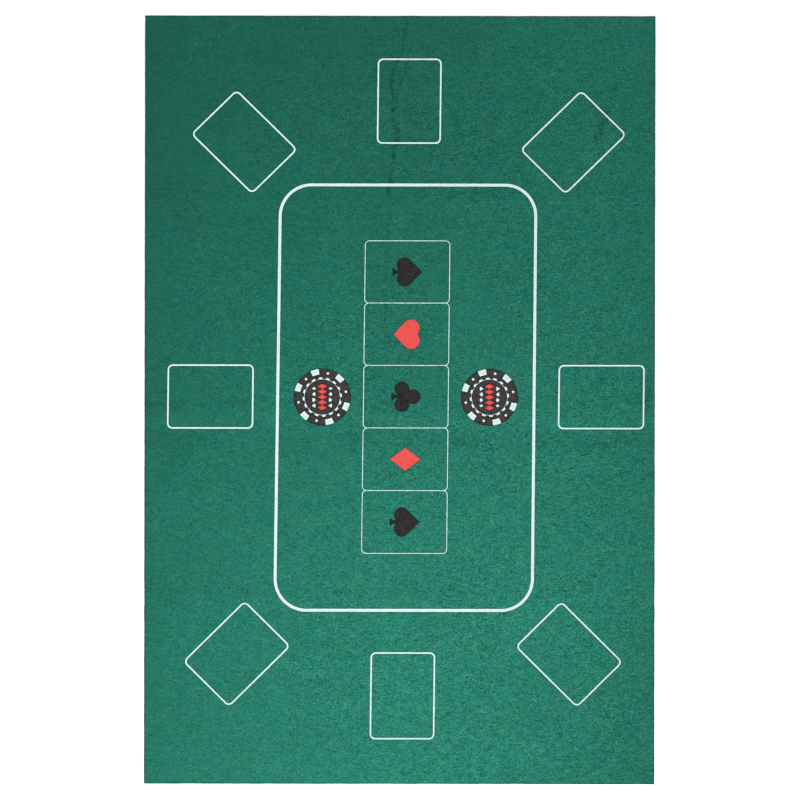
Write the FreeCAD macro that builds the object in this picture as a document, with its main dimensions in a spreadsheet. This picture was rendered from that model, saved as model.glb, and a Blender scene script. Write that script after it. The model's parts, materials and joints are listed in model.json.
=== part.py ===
import FreeCAD, Part
import math
import os
import Sketcher

# A folding poker mat: one sheet of needle-punched felt with the card layout printed on its upper face.
# It folds in half along its length and then twice across, so the sheet is made of eight panels, of the
# narrow crease strips that turn between them, and of the thin ink films that lie on both.
#
# Frame: millimetres, X across the mat, Y along it, Z up. The origin is on the table under the middle of
# the mat. Bands are counted from the far end (+Y) to the near end (-Y).

DIMENSIONS = [
    ("mat_width", 600.0, "sheet, across"),
    ("mat_length", 903.0, "sheet, along"),
    ("felt_thick", 1.0, "felt"),
    ("ink_thick", 0.1, "ink film on the felt"),
    ("layer_gap", 0.3, "air between two layers of the folded mat"),
    ("seam_gap", 0.05, "from a fold line to the felt on either side"),
    ("ink_gap", 0.15, "from a fold line to the ink on either side"),
    ("quarter_fold", 228.75, "from the mat's middle to the middle of an outer crease"),
    ("print_shift_x", 7.2, "print's middle from the sheet's middle, across"),
    ("print_shift_y", 3.65, "print's middle from the sheet's middle, along"),
    ("print_lean", 0.01, "the print leans this much across per millimetre along"),
    ("print_spread", 0.000016, "the print is wider by this share per millimetre towards the near end"),
    ("betting_wide", 301.5, "betting line, across, on the line's middle"),
    ("betting_long", 500.1, "betting line, along"),
    ("betting_radius", 37.0, "betting line, corner"),
    ("betting_line", 3.4, "betting line, thickness"),
    ("seat_long", 99.6, "seat box round one player's card, long side"),
    ("seat_short", 73.9, "seat box, short side"),
    ("seat_radius", 5.5, "seat box, corner"),
    ("seat_line", 1.8, "seat box, thickness of its line"),
    ("seat_end_y", 349.6, "seat boxes at the two ends, from the print's middle"),
    ("seat_side_x", 229.8, "seat boxes at the two sides"),
    ("seat_corner_x", 194.4, "seat boxes at the four corners, across"),
    ("seat_corner_y", 301.0, "seat boxes at the four corners, along"),
    ("seat_corner_turn", 44.5, "their long side from the X direction, in degrees"),
    ("board_wide", 99.7, "one box of the board in the middle, across"),
    ("board_pitch", 73.5, "one box of the board, along"),
    ("board_y", 0.2, "middle of the board from the print's middle, along"),
    ("board_radius", 5.0, "board box, corner"),
    ("board_line", 1.0, "board box, thickness of its line"),
    ("spade_lobe", 8.7, "spade, radius of a lobe"),
    ("spade_side", 8.0, "spade, from the axis to a lobe's middle"),
    ("spade_tip", 20.1, "spade, from the lobes to the tip"),
    ("spade_foot", 13.8, "spade, from the lobes to the end of the stem"),
    ("heart_lobe", 10.1, "heart, radius of a lobe"),
    ("heart_side", 7.2, "heart, from the axis to a lobe's middle"),
    ("heart_tip", 20.6, "heart, from the lobes to the tip"),
    ("club_lobe", 8.2, "club, radius of a lobe"),
    ("club_side", 9.3, "club, from the axis to a side lobe's middle"),
    ("club_top", 13.3, "club, from the side lobes to the top lobe"),
    ("club_foot", 12.1, "club, from the side lobes to the end of the stem"),
    ("stem_neck", 1.8, "stem of a spade or club, half its width at the neck"),
    ("stem_end", 4.3, "stem of a spade or club, half its width at the end"),
    ("diamond_long", 36.0, "diamond, along its axis"),
    ("diamond_wide", 27.0, "diamond, across its axis"),
    ("chip_x", 98.3, "printed chips, from the print's middle"),
    ("chip_y", -0.4, "printed chips, along"),
    ("chip_radius", 33.2, "printed chip"),
    ("block_inner", 26.7, "white blocks on a chip's rim, inner radius"),
    ("block_outer", 33.2, "white blocks on a chip's rim, outer radius"),
    ("block_sweep", 17.3, "white blocks on a chip's rim, in degrees"),
    ("dot_ring", 28.5, "white dots between the blocks, radius of their circle"),
    ("dot_radius", 1.5, "one white dot"),
    ("ring_inner", 20.8, "thin ring on a chip, inner radius"),
    ("ring_outer", 21.3, "thin ring on a chip, outer radius"),
    ("dash_inner", 21.1, "dashes round the thin ring, inner radius"),
    ("dash_outer", 23.1, "dashes round the thin ring, outer radius"),
    ("dash_half", 2.1, "half the length of a dash"),
    ("dash_turn", 5.2, "first dash from the X direction, in degrees"),
    ("small_suit", 0.13, "size of a suit on a chip, as a share of a suit on the board"),
    ("small_suit_x", 9.7, "suits on a chip, from its middle"),
    ("small_suit_pitch", 6.7, "suits on a chip, along"),
    ("lozenge_wide", 11.4, "red lozenges down a chip's middle, across"),
    ("lozenge_tall", 5.9, "one red lozenge, along"),
    ("lozenge_pitch", 6.3, "red lozenges, along"),
]

BOARD_BOXES = 5
DASHES = 16
LOZENGES = 5
BLOCK_ANGLES = (47.0, 106.0, 158.5)
HALF_TURN = 180.0
SMALL_SUITS = ("club", "heart", "spade", "diamond")
BOARD_SUITS = ("spade", "heart", "club", "diamond", "spade")
RED_SUITS = ("heart", "diamond")
NECK_SHARE = 0.74
SMALLEST = 1e-9

START, END, MIDDLE = 1, 2, 3
X_AXIS, Y_AXIS, ORIGIN = -1, -2, (-1, 1)


class Size:
    """A length or an angle: its number, and the expression over the sheet's cells that gives it."""

    def __init__(self, value, text):
        self.value = value
        self.text = text

    def joined(self, sign, other, value):
        return Size(value, f"({self.text} {sign} {sized(other).text})")

    def __add__(self, other):
        return self.joined("+", other, self.value + sized(other).value)

    def __sub__(self, other):
        return self.joined("-", other, self.value - sized(other).value)

    def __mul__(self, other):
        return self.joined("*", other, self.value * sized(other).value)

    def __truediv__(self, other):
        return self.joined("/", other, self.value / sized(other).value)

    def __neg__(self):
        return self * -1.0


def sized(number):
    """A plain number as a Size, and a Size as it is."""
    if isinstance(number, Size):
        return number
    return Size(float(number), repr(float(number)))


def make_sheet(doc):
    """The sheet of driving dimensions, and a Size for each of its cells."""
    sheet = doc.addObject("Spreadsheet::Sheet", "Dimensions")
    sizes = {}
    for row, (alias, value, meaning) in enumerate(DIMENSIONS, start=1):
        sheet.set(f"A{row}", alias)
        sheet.set(f"B{row}", repr(value))
        sheet.set(f"C{row}", meaning)
        sheet.setAlias(f"B{row}", alias)
        sizes[alias] = Size(value, f"Dimensions.{alias}")
    return sizes


doc = FreeCAD.newDocument("FoldingPokerMat")
size = make_sheet(doc)
doc.recompute()

felt = size["felt_thick"]
gap = size["layer_gap"]
outer_crease = felt * 2 + gap * 3
middle_crease = (outer_crease + felt) * 2 + gap
far_fold = size["quarter_fold"] + outer_crease / 2
near_fold = size["quarter_fold"] - outer_crease / 2
middle_fold = middle_crease / 2
mat_end = size["mat_length"] / 2
mat_side = size["mat_width"] / 2
lean_angle = size["print_lean"] * Size(math.degrees(1.0), "(180 / pi)")

# name, lower edge, upper edge
BANDS = [
    ("panel_1", far_fold, mat_end),
    ("crease_12", near_fold, far_fold),
    ("panel_2", middle_fold, near_fold),
    ("crease_23", -middle_fold, middle_fold),
    ("panel_3", -near_fold, -middle_fold),
    ("crease_34", -far_fold, -near_fold),
    ("panel_4", -mat_end, -far_fold),
]
SIDES = {"left": -1, "right": 1}
ENDS = {"far": 1, "near": -1}

# The left half folds over the right half first, so at the cross folds its panels stop short by the
# thickness that the folded left crease takes up inside the right one.
LEFT_PANEL_GAP = felt + gap + size["seam_gap"] * 3
LEFT_CREASE_GAP = size["seam_gap"] * 4

# the printed figures that fall on each band
END_PRINTS = ("corner_seat_box", "end_seat_box", "betting_line")
INNER_PRINTS = ("side_seat_box", "betting_line", "board_boxes", "chip_marks", "black_print", "red_print")
PRINTS = {
    "panel_1": END_PRINTS,
    "crease_12": ("betting_line",),
    "panel_2": INNER_PRINTS,
    "crease_23": ("white_print", "black_print", "red_print"),
    "panel_3": INNER_PRINTS,
    "crease_34": ("betting_line",),
    "panel_4": END_PRINTS,
}


# ---- document objects ----


def bind(thing, **properties):
    """Bind properties of a document object to the sheet; two underscores in a name stand for a dot."""
    for name, value in properties.items():
        thing.setExpression(name.replace("__", "."), sized(value).text)


def place(thing, x, y, z, turn=0.0):
    """Put an object at x, y, z, turned about Z by an angle in degrees."""
    upright = FreeCAD.Rotation(FreeCAD.Vector(0, 0, 1), sized(turn).value)
    spot = FreeCAD.Vector(sized(x).value, sized(y).value, sized(z).value)
    thing.Placement = FreeCAD.Placement(spot, upright)
    bind(thing, Placement__Base__x=x, Placement__Base__y=y, Placement__Base__z=z)


def swell(y):
    """How many times wider than at its middle the print is at y, so also half of its stretch along."""
    return sized(1.0) - size["print_spread"] * y


def put_print(thing, x, y, turn=0.0):
    """Put a printed figure at its place in the print, which is shifted, leans and spreads on the sheet."""
    along = sized(y) * swell(y) + size["print_shift_y"]
    across = sized(x) * swell(y) + size["print_shift_x"] + sized(y) * size["print_lean"]
    place(thing, across, along, felt, turn)
    return thing


def box(label, x, y, z, length, width, height):
    block = doc.addObject("Part::Box", label)
    bind(block, Length=length, Width=width, Height=height)
    place(block, x, y, z)
    return block


def disc(label, radius, sweep=None):
    """An ink disc, or the slice of one that starts at the X direction."""
    round_piece = doc.addObject("Part::Cylinder", label)
    bind(round_piece, Radius=radius, Height=size["ink_thick"])
    if sweep is not None:
        bind(round_piece, Angle=sweep)
    return round_piece


def together(kind, label, pieces):
    """Several objects as one, by Part::MultiFuse where they overlap or Part::Compound where they don't."""
    whole = doc.addObject(kind, label)
    if kind == "Part::Compound":
        whole.Links = pieces
    else:
        whole.Shapes = pieces
    return whole


def boolean(kind, label, base, tool):
    result = doc.addObject(kind, label)
    result.Base = base
    result.Tool = tool
    return result


# ---- sketches ----


def new_body(label):
    body = doc.addObject("PartDesign::Body", label)
    doc.recompute()
    return body


def new_sketch(body, name):
    sketch = body.newObject("Sketcher::SketchObject", f"{body.Label}_{name}")
    planes = [plane for plane in body.Origin.OriginFeatures if plane.Role == "XY_Plane"]
    sketch.AttachmentSupport = [(planes[0], "")]
    sketch.MapMode = "FlatFace"
    return sketch


def pad(body, sketch):
    """Raise a sketch by the ink's thickness."""
    feature = body.newObject("PartDesign::Pad", f"{sketch.Label}_pad")
    feature.Profile = sketch
    bind(feature, Length=size["ink_thick"])
    doc.recompute()
    return feature


def rule(sketch, *parts):
    return sketch.addConstraint(Sketcher.Constraint(*parts))


def measure(sketch, what, *parts):
    """A constraint whose number, the last of parts, is bound to the sheet."""
    amount = sized(parts[-1])
    start = math.radians(amount.value) if what == "Angle" else amount.value
    index = rule(sketch, what, *parts[:-1], start)
    sketch.setExpression(f"Constraints[{index}]", amount.text)


def pin(sketch, curve, end, x, y):
    """Fix a point of the sketch at x, y."""
    for what, axis, amount in (("DistanceX", Y_AXIS, sized(x)), ("DistanceY", X_AXIS, sized(y))):
        if abs(amount.value) < SMALLEST:
            rule(sketch, "PointOnObject", curve, end, axis)
        elif amount.value > 0:
            measure(sketch, what, *ORIGIN, curve, end, amount)
        else:
            measure(sketch, what, curve, end, *ORIGIN, -amount)


def vector(x, y):
    return FreeCAD.Vector(sized(x).value, sized(y).value, 0)


def arc(sketch, x, y, radius, first, last):
    """Add an arc about x, y from one angle to another, anticlockwise, in radians."""
    whole = Part.Circle(vector(x, y), FreeCAD.Vector(0, 0, 1), sized(radius).value)
    return sketch.addGeometry(Part.ArcOfCircle(whole, first, last), False)


def line(sketch, first, last):
    return sketch.addGeometry(Part.LineSegment(first, last), False)


def polygon(sketch, corners):
    """A closed outline of straight sides through corners."""
    points = [vector(x, y) for x, y in corners]
    count = len(points)
    sides = [line(sketch, points[i], points[(i + 1) % count]) for i in range(count)]
    for i in range(count):
        rule(sketch, "Coincident", sides[i - 1], END, sides[i], START)
        pin(sketch, sides[i], START, *corners[i])


def circle(sketch, x, y, radius):
    """A circle with its middle at x, y."""
    whole = Part.Circle(vector(x, y), FreeCAD.Vector(0, 0, 1), sized(radius).value)
    curve = sketch.addGeometry(whole, False)
    pin(sketch, curve, MIDDLE, x, y)
    measure(sketch, "Radius", curve, radius)


def rounded_outline(sketch, wide, tall, radius, lean):
    """A rectangle with round corners about the origin, whose upright sides lean by an angle."""
    r = radius.value
    a = wide.value / 2 - r
    b = tall.value / 2 - r
    tilt = math.radians(lean.value)
    s = b * math.tan(tilt)
    out = FreeCAD.Vector(math.cos(tilt), -math.sin(tilt), 0) * r
    up = FreeCAD.Vector(0, r, 0)
    low_left, low_right = vector(-a - s, -b), vector(a - s, -b)
    high_left, high_right = vector(-a + s, b), vector(a + s, b)

    bottom = line(sketch, low_left - up, low_right - up)
    right = line(sketch, low_right + out, high_right + out)
    top = line(sketch, high_right + up, high_left + up)
    left = line(sketch, high_left - out, low_left - out)
    quarter = math.pi / 2
    corners = [
        arc(sketch, low_right.x, low_right.y, r, 3 * quarter, 4 * quarter - tilt),
        arc(sketch, high_right.x, high_right.y, r, -tilt, quarter),
        arc(sketch, high_left.x, high_left.y, r, quarter, 2 * quarter - tilt),
        arc(sketch, low_left.x, low_left.y, r, 2 * quarter - tilt, 3 * quarter),
    ]
    sides = [bottom, right, top, left]
    for i, corner in enumerate(corners):
        rule(sketch, "Tangent", sides[i], END, corner, START)
        rule(sketch, "Tangent", corner, END, sides[(i + 1) % len(sides)], START)
    for corner in corners[1:]:
        rule(sketch, "Equal", corners[0], corner)
    measure(sketch, "Radius", corners[0], radius)
    rule(sketch, "Horizontal", bottom)
    rule(sketch, "Parallel", left, right)
    measure(sketch, "Angle", right, sized(90.0) - lean)
    rule(sketch, "Symmetric", corners[3], MIDDLE, corners[1], MIDDLE, *ORIGIN)
    measure(sketch, "DistanceX", corners[3], MIDDLE, corners[0], MIDDLE, wide - radius * 2)
    measure(sketch, "DistanceY", corners[0], MIDDLE, corners[1], MIDDLE, tall - radius * 2)


def frame(label, wide, tall, radius, thickness, lean):
    """A printed line round a rectangle with round corners; the sizes are those of the line's middle."""
    body = new_body(label)
    sketch = new_sketch(body, "outline")
    half = thickness / 2
    for side in (half, -half):
        rounded_outline(sketch, wide + side * 2, tall + side * 2, radius + side, lean)
    pad(body, sketch)
    return body


# ---- suits, each with its axis along X ----


def two_lobes(body, lobe, side, tip):
    """Two round lobes, one each side of the X axis, drawn out to a tip at +X."""
    sketch = new_sketch(body, "lobes")
    r = lobe.value
    away = math.hypot(side.value, tip.value)
    touch = math.acos(r / away) - math.atan2(side.value, tip.value)
    notch = math.pi + math.acos(math.sqrt(r * r - side.value * side.value) / r)
    high = arc(sketch, 0, side, lobe, touch, notch)
    low = arc(sketch, 0, -side, lobe, -notch, -touch)
    point = vector(tip, 0)
    reach = FreeCAD.Vector(r * math.cos(touch), side.value + r * math.sin(touch), 0)
    upper = line(sketch, point, reach)
    lower = line(sketch, FreeCAD.Vector(reach.x, -reach.y, 0), point)
    rule(sketch, "Tangent", upper, END, high, START)
    rule(sketch, "Coincident", high, END, low, START)
    rule(sketch, "Tangent", low, END, lower, START)
    rule(sketch, "Coincident", lower, END, upper, START)
    rule(sketch, "Equal", high, low)
    measure(sketch, "Radius", high, lobe)
    pin(sketch, high, MIDDLE, 0, side)
    pin(sketch, low, MIDDLE, 0, -side)
    pin(sketch, upper, START, tip, 0)
    pad(body, sketch)


def stem(body, foot, scale):
    """The stem of a spade or a club, from between its lobes to a wider end at -X."""
    neck = foot * NECK_SHARE
    neck_half = size["stem_neck"] * scale
    end_half = size["stem_end"] * scale
    sketch = new_sketch(body, "stem")
    corners = [(-foot, -end_half), (-neck, -neck_half), (0, -neck_half)]
    mirrored = [(x, sized(y) * -1.0) for x, y in reversed(corners)]
    polygon(sketch, corners + mirrored)
    pad(body, sketch)


def spade(label, scale):
    body = new_body(label)
    two_lobes(body, size["spade_lobe"] * scale, size["spade_side"] * scale, size["spade_tip"] * scale)
    stem(body, size["spade_foot"] * scale, scale)
    return body, (size["spade_foot"] - size["spade_tip"]) * scale / 2


def heart(label, scale):
    body = new_body(label)
    two_lobes(body, size["heart_lobe"] * scale, size["heart_side"] * scale, size["heart_tip"] * scale)
    return body, (size["heart_lobe"] - size["heart_tip"]) * scale / 2


def club(label, scale):
    body = new_body(label)
    side = size["club_side"] * scale
    top = size["club_top"] * scale
    hub = new_sketch(body, "hub")
    polygon(hub, [(0, -side), (top, 0), (0, side)])
    pad(body, hub)
    for name, x, y in (("top", top, 0), ("low", 0, -side), ("high", 0, side)):
        lobe = new_sketch(body, name)
        circle(lobe, x, y, size["club_lobe"] * scale)
        pad(body, lobe)
    stem(body, size["club_foot"] * scale, scale)
    return body, (size["club_foot"] - size["club_top"] - size["club_lobe"]) * scale / 2


def lozenge(label, long, wide):
    body = new_body(label)
    sketch = new_sketch(body, "outline")
    polygon(sketch, [(long / 2, 0), (0, wide / 2), (-long / 2, 0), (0, -wide / 2)])
    pad(body, sketch)
    return body


def suit(kind, label, x, y, scale, facing=1):
    """A suit with its middle at x, y and its top towards +X, or towards -X where facing is -1."""
    if kind == "diamond":
        body = lozenge(label, size["diamond_long"] * scale, size["diamond_wide"] * scale)
        return put_print(body, x, y)
    body, middle = {"spade": spade, "heart": heart, "club": club}[kind](label, scale)
    # a heart's tip is at its foot, so it is turned the other way round
    way = -facing if kind == "heart" else facing
    return put_print(body, sized(x) + middle * way, y, 0.0 if way > 0 else HALF_TURN)


# ---- printed chips ----


def dash_ring(label):
    """The thin ring on a chip with the dashes that stand round it."""
    body = new_body(label)
    ring = new_sketch(body, "ring")
    circle(ring, 0, 0, size["ring_outer"])
    circle(ring, 0, 0, size["ring_inner"])
    pad(body, ring)
    dash = new_sketch(body, "dash")
    inner, outer, half = size["dash_inner"], size["dash_outer"], size["dash_half"]
    polygon(dash, [(inner, -half), (outer, -half), (outer, half), (inner, half)])
    dash_pad = pad(body, dash)
    dashes = body.newObject("PartDesign::PolarPattern", f"{label}_dashes")
    dashes.Originals = [dash_pad]
    axes = [axis for axis in body.Origin.OriginFeatures if axis.Role == "Z_Axis"]
    dashes.Axis = (axes[0], [""])
    dashes.Angle = 2 * HALF_TURN
    dashes.Occurrences = DASHES
    body.Tip = dashes
    doc.recompute()
    return body


def rim_blocks(name, x, y):
    """The white blocks on a chip's rim, cut from slices of a disc."""
    slices = []
    for angle in BLOCK_ANGLES:
        for turn in (angle, angle + HALF_TURN):
            piece = disc(f"{name}_slice_{len(slices) + 1}", size["block_outer"], size["block_sweep"])
            put_print(piece, x, y, turn - size["block_sweep"].value / 2)
            slices.append(piece)
    core = put_print(disc(f"{name}_core", size["block_inner"]), x, y)
    return boolean("Part::Cut", f"{name}_blocks", together("Part::MultiFuse", f"{name}_slices", slices), core)


def rim_dots(name, x, y):
    """A white dot midway between each two blocks."""
    angles = sorted(angle + turn for angle in BLOCK_ANGLES for turn in (0.0, HALF_TURN))
    following = angles[1:] + [angles[0] + 2 * HALF_TURN]
    dots = []
    for first, last in zip(angles, following):
        middle = math.radians((first + last) / 2)
        dot = disc(f"{name}_dot_{len(dots) + 1}", size["dot_radius"])
        across = sized(x) + size["dot_ring"] * math.cos(middle)
        along = sized(y) + size["dot_ring"] * math.sin(middle)
        dots.append(put_print(dot, across, along))
    return dots


def chip(side):
    """One printed chip: its black disc, its white marks and its red lozenges, as three objects."""
    name = f"chip_{side}"
    way = SIDES[side]
    x, y = size["chip_x"] * way, size["chip_y"]
    marks = [rim_blocks(name, x, y)]
    marks += rim_dots(name, x, y)
    marks.append(put_print(dash_ring(f"{name}_ring"), x, y, size["dash_turn"].value))
    for row, kind in enumerate(SMALL_SUITS):
        place_y = y + size["small_suit_pitch"] * ((len(SMALL_SUITS) - 1) / 2 - row) * way
        for column in (-1, 1):
            place_x = x + size["small_suit_x"] * column
            label = f"{name}_{kind}_{'left' if column < 0 else 'right'}"
            marks.append(suit(kind, label, place_x, place_y, size["small_suit"], way))
    reds = []
    for row in range(LOZENGES):
        piece = lozenge(f"{name}_lozenge_{row + 1}", size["lozenge_wide"], size["lozenge_tall"])
        place_y = y + size["lozenge_pitch"] * (row - (LOZENGES - 1) / 2)
        reds.append(put_print(piece, x, place_y))
    white = together("Part::Compound", f"{name}_white", marks)
    red = together("Part::Compound", f"{name}_red", reds)
    face = put_print(disc(f"{name}_face", size["chip_radius"]), x, y)
    pierced = boolean("Part::Cut", f"{name}_pierced", face, white)
    return boolean("Part::Cut", f"{name}_black", pierced, red), white, red


# ---- the whole print ----


def seat_box(label, along_x, along_y, x, y, lean, turn=0.0):
    """One seat box, as much larger or smaller as the print is there."""
    grown = swell(y) * (swell(y) if turn == 0 else 1.0)
    seat = frame(label, along_x * swell(y), along_y * grown, size["seat_radius"], size["seat_line"], lean)
    return put_print(seat, x, y, turn)


def seat_boxes():
    """The eight seat boxes, in the three groups that the bands use."""
    long, short = size["seat_long"], size["seat_short"]
    turn = size["seat_corner_turn"]
    square = sized(90.0) - turn * 2
    corners, ends, sides = [], [], []
    for side, way in SIDES.items():
        for end, along in ENDS.items():
            slope = way * along
            x, y = size["seat_corner_x"] * way, size["seat_corner_y"] * along
            label = f"{end}_{side}_seat"
            corners.append(seat_box(label, long, short, x, y, square * -slope, turn.value * slope))
        sides.append(seat_box(f"{side}_seat", long, short, size["seat_side_x"] * way, 0, lean_angle))
    for end, along in ENDS.items():
        ends.append(seat_box(f"{end}_seat", short, long, 0, size["seat_end_y"] * along, lean_angle))
    return corners, ends, sides


def board_row(row):
    """Where a box of the board lies along the mat; row 0 is the far one."""
    return size["board_y"] + size["board_pitch"] * ((BOARD_BOXES - 1) / 2 - row)


def board():
    """The five boxes down the middle. They share their sides, so all five are the same size, and the print's
    spread, which is small this near its middle, is left out."""
    boxes = []
    for row in range(BOARD_BOXES):
        y = board_row(row)
        piece = frame(f"board_box_{row + 1}", size["board_wide"], size["board_pitch"], size["board_radius"],
                      size["board_line"], lean_angle)
        place(piece, size["print_shift_x"] + y * size["print_lean"], y + size["print_shift_y"], felt)
        boxes.append(piece)
    return together("Part::MultiFuse", "board", boxes)


def whole_print():
    """Every printed figure, as one compound for each kind that the bands name."""
    corners, ends, sides = seat_boxes()
    betting = frame("betting", size["betting_wide"], size["betting_long"], size["betting_radius"],
                    size["betting_line"], lean_angle)
    half = size["betting_long"] / 2
    put_print(betting, 0, half * half * size["print_spread"] * -1.0)
    boxes = board()
    chips = [chip(side) for side in SIDES]
    black = [chips[0][0], chips[1][0]]
    red = [chips[0][2], chips[1][2]]
    for row, kind in enumerate(BOARD_SUITS):
        ink = red if kind in RED_SUITS else black
        ink.append(suit(kind, f"board_{kind}_{row + 1}", 0, board_row(row), 1.0))
    marks = [chips[0][1], chips[1][1]]
    groups = {
        "corner_seat_box": corners,
        "end_seat_box": ends,
        "side_seat_box": sides,
        "betting_line": [betting],
        "board_boxes": [boxes],
        "chip_marks": marks,
        "white_print": sides + [betting, boxes] + marks,
        "black_print": black,
        "red_print": red,
    }
    return {kind: together("Part::Compound", f"all_{kind}", pieces) for kind, pieces in groups.items()}


# ---- the felt and its ink, band by band ----


def edge_gap(band, side, ink):
    """How far the felt, or the ink on it, stays from a cross fold."""
    if side == "right":
        return size["ink_gap"] if ink else size["seam_gap"]
    return LEFT_PANEL_GAP if band.startswith("panel") else LEFT_CREASE_GAP


def band_box(label, band, low, high, side, ink):
    """The block of a band on one side of the long fold: its felt, or the space where its ink may lie."""
    clear = edge_gap(band, side, ink)
    bottom = low if band == "panel_4" else low + clear
    top = high if band == "panel_1" else high - clear
    left = size["seam_gap"] if side == "right" else -mat_side
    height = felt * 2 if ink else felt
    return box(label, left, bottom, 0, mat_side - size["seam_gap"], top - bottom, height)


def build():
    """Every sub-part of the mat."""
    figures = whole_print()
    pieces = []
    for band, low, high in BANDS:
        for side in SIDES:
            pieces.append(band_box(f"felt_{band}_{side}", band, low, high, side, ink=False))
            space = band_box(f"space_{band}_{side}", band, low, high, side, ink=True)
            for kind in PRINTS[band]:
                pieces.append(boolean("Part::Common", f"{kind}_{band}_{side}", figures[kind], space))
    return pieces


def check(pieces):
    """Stop before anything is written if an object failed or a sub-part isn't sound."""
    doc.recompute()
    for thing in doc.Objects:
        if "Invalid" in thing.State or "Error" in thing.State:
            raise RuntimeError(f"{thing.Label} failed: {thing.State}")
    for piece in pieces:
        shape = piece.Shape
        if shape.isNull() or not shape.isValid() or not shape.Solids:
            raise RuntimeError(f"{piece.Label} isn't a sound solid")


def write(pieces):
    os.makedirs("parts", exist_ok=True)
    for piece in pieces:
        piece.Shape.exportStep(f"parts/{piece.Label}.step")
        print(f"{piece.Label}: {len(piece.Shape.Solids)} solids, {piece.Shape.Volume:.2f} mm3")


sub_parts = build()
check(sub_parts)
write(sub_parts)
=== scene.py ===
"""Looks of the folding poker mat: one sheet of needle-punched felt with the card layout printed on it.

Lengths are in millimetres unless a name ends in _m. The frame is the CAD's: X across the mat, Y along it,
Z up, the origin on the table under the mat's middle.
"""

import json
import math

import bpy
import numpy as np
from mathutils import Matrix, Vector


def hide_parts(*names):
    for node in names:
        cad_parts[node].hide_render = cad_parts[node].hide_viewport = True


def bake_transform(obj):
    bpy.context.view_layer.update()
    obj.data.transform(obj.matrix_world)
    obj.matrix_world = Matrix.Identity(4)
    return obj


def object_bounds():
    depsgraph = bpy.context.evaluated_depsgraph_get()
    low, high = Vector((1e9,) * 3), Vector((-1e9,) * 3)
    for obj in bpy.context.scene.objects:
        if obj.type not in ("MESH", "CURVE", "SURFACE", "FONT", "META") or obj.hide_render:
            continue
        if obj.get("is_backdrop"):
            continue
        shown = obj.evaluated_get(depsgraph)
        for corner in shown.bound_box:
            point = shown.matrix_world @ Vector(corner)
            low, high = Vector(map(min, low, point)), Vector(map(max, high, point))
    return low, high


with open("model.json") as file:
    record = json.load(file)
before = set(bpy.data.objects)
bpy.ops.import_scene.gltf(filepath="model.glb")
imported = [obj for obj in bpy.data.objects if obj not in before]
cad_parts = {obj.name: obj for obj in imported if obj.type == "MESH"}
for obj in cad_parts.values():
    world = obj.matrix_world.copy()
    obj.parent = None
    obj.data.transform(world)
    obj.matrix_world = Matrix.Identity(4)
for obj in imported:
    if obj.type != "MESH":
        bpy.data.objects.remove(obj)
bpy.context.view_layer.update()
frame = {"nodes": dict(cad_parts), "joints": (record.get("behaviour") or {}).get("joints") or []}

MM = 0.001
SCENE = bpy.context.scene

# ---- sizes, as in the CAD, apart from the board's line, which is 0.1 mm thinner ----

MAT_WIDE = 600.0
MAT_LONG = 903.0
FELT_THICK = 1.0
HALF_WIDE = MAT_WIDE / 2
HALF_LONG = MAT_LONG / 2
PRINT_SHIFT = (7.2, 3.65)
PRINT_LEAN = 0.010
# the print is wider by this share for every millimetre towards the near end, and longer by twice as much
PRINT_SPREAD = 0.000016
BETTING = {"wide": 301.5, "tall": 500.1, "radius": 37.0, "line": 3.4}
SEAT = {"long": 99.6, "short": 73.9, "radius": 5.5, "line": 1.8}
SEAT_END_Y = 349.6
SEAT_SIDE_X = 229.8
SEAT_CORNER = (194.4, 301.0)
SEAT_CORNER_TURN = 44.5
BOARD = {"wide": 99.7, "tall": 73.5, "radius": 5.0, "line": 0.9}
BOARD_Y = 0.2
BOARD_SUITS = ("spade", "heart", "club", "diamond", "spade")
RED_SUITS = ("heart", "diamond")
SPADE = {"lobe": 8.7, "side": 8.0, "tip": 20.1, "foot": 13.8}
HEART = {"lobe": 10.1, "side": 7.2, "tip": 20.6}
CLUB = {"lobe": 8.2, "side": 9.3, "top": 13.3, "foot": 12.1}
STEM = {"neck": 1.8, "end": 4.3, "neck_share": 0.74}
DIAMOND = (36.0, 27.0)
CHIP = (98.3, -0.4)
CHIP_RADIUS = 33.2
BLOCK = {"inner": 26.7, "outer": 33.2, "sweep": 17.3}
BLOCK_ANGLES = (47.0, 106.0, 158.5)
DOT = {"ring": 28.5, "radius": 1.5}
RING = (20.8, 21.3)
DASH = {"inner": 21.1, "outer": 23.1, "half": 2.1, "turn": 5.2, "count": 16}
SMALL_SUIT = {"scale": 0.13, "x": 9.7, "pitch": 6.7}
SMALL_SUITS = ("club", "heart", "spade", "diamond")
LOZENGE = {"wide": 11.4, "tall": 5.9, "pitch": 6.3, "count": 5}

BAND_NAMES = ("panel_1", "crease_12", "panel_2", "crease_23", "panel_3", "crease_34", "panel_4")
SIDES = {"left": -1, "right": 1}
ENDS = {"far": 1, "near": -1}


# ---- camera ----

VIEW_WIDE_M = 0.9406
LENS = 100.0
SENSOR = 36.0
CAMERA_TURN_DEG = 0.09
# how far the camera stands off the mat's middle, across and along
CAMERA_OFF = (0.3, -0.1)


def make_camera():
    """Straight above the mat, a hair off its middle and turned by a tenth of a degree."""
    data = bpy.data.cameras.new("camera")
    data.lens = LENS
    data.sensor_width = SENSOR
    camera = bpy.data.objects.new("camera", data)
    SCENE.collection.objects.link(camera)
    height = VIEW_WIDE_M * LENS / SENSOR
    camera.location = (CAMERA_OFF[0] * MM, CAMERA_OFF[1] * MM, height + FELT_THICK * MM)
    camera.rotation_euler = (0.0, 0.0, math.radians(CAMERA_TURN_DEG))
    SCENE.camera = camera


make_camera()


# ---- noise ----

LATTICE = 256


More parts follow.
